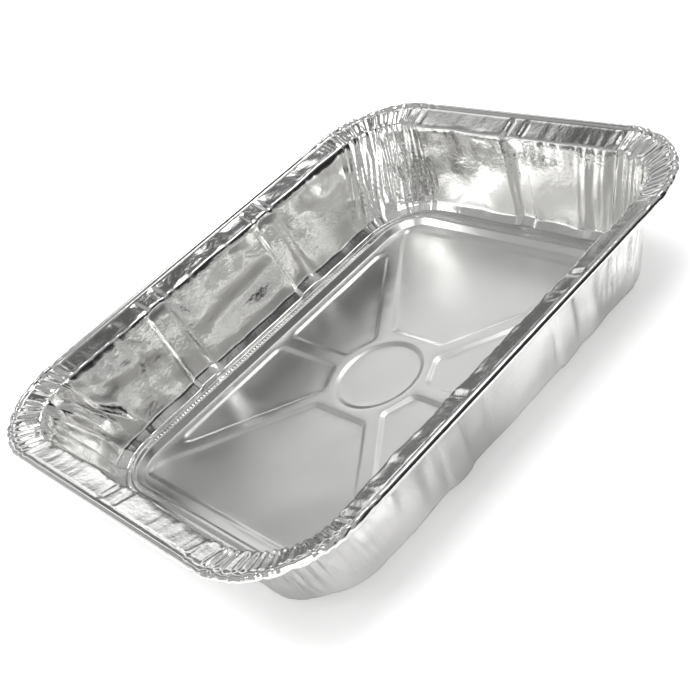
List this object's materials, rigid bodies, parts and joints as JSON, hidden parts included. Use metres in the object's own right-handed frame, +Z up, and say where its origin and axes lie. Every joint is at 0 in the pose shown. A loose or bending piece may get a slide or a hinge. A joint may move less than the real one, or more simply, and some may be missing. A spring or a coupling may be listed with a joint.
{
  "type": "aluminium foil tray",
  "caption": "Deep rectangular foil roasting tray with gathered corners, a ribbed floor and a rolled rim.",
  "frame": {"origin": "middle of the tray, at the underside of the floor's sunk panels, on which it rests", "axes": "+Z up, +X to one short side, +Y to one long side"},
  "size_m": [0.324, 0.264, 0.065],
  "materials": {
    "foil": "bright foil with a fine crinkle and faint rolling streaks"
  },
  "bodies": {
    "root": {"foil_tray": "foil"}
  },
  "joints": []
}
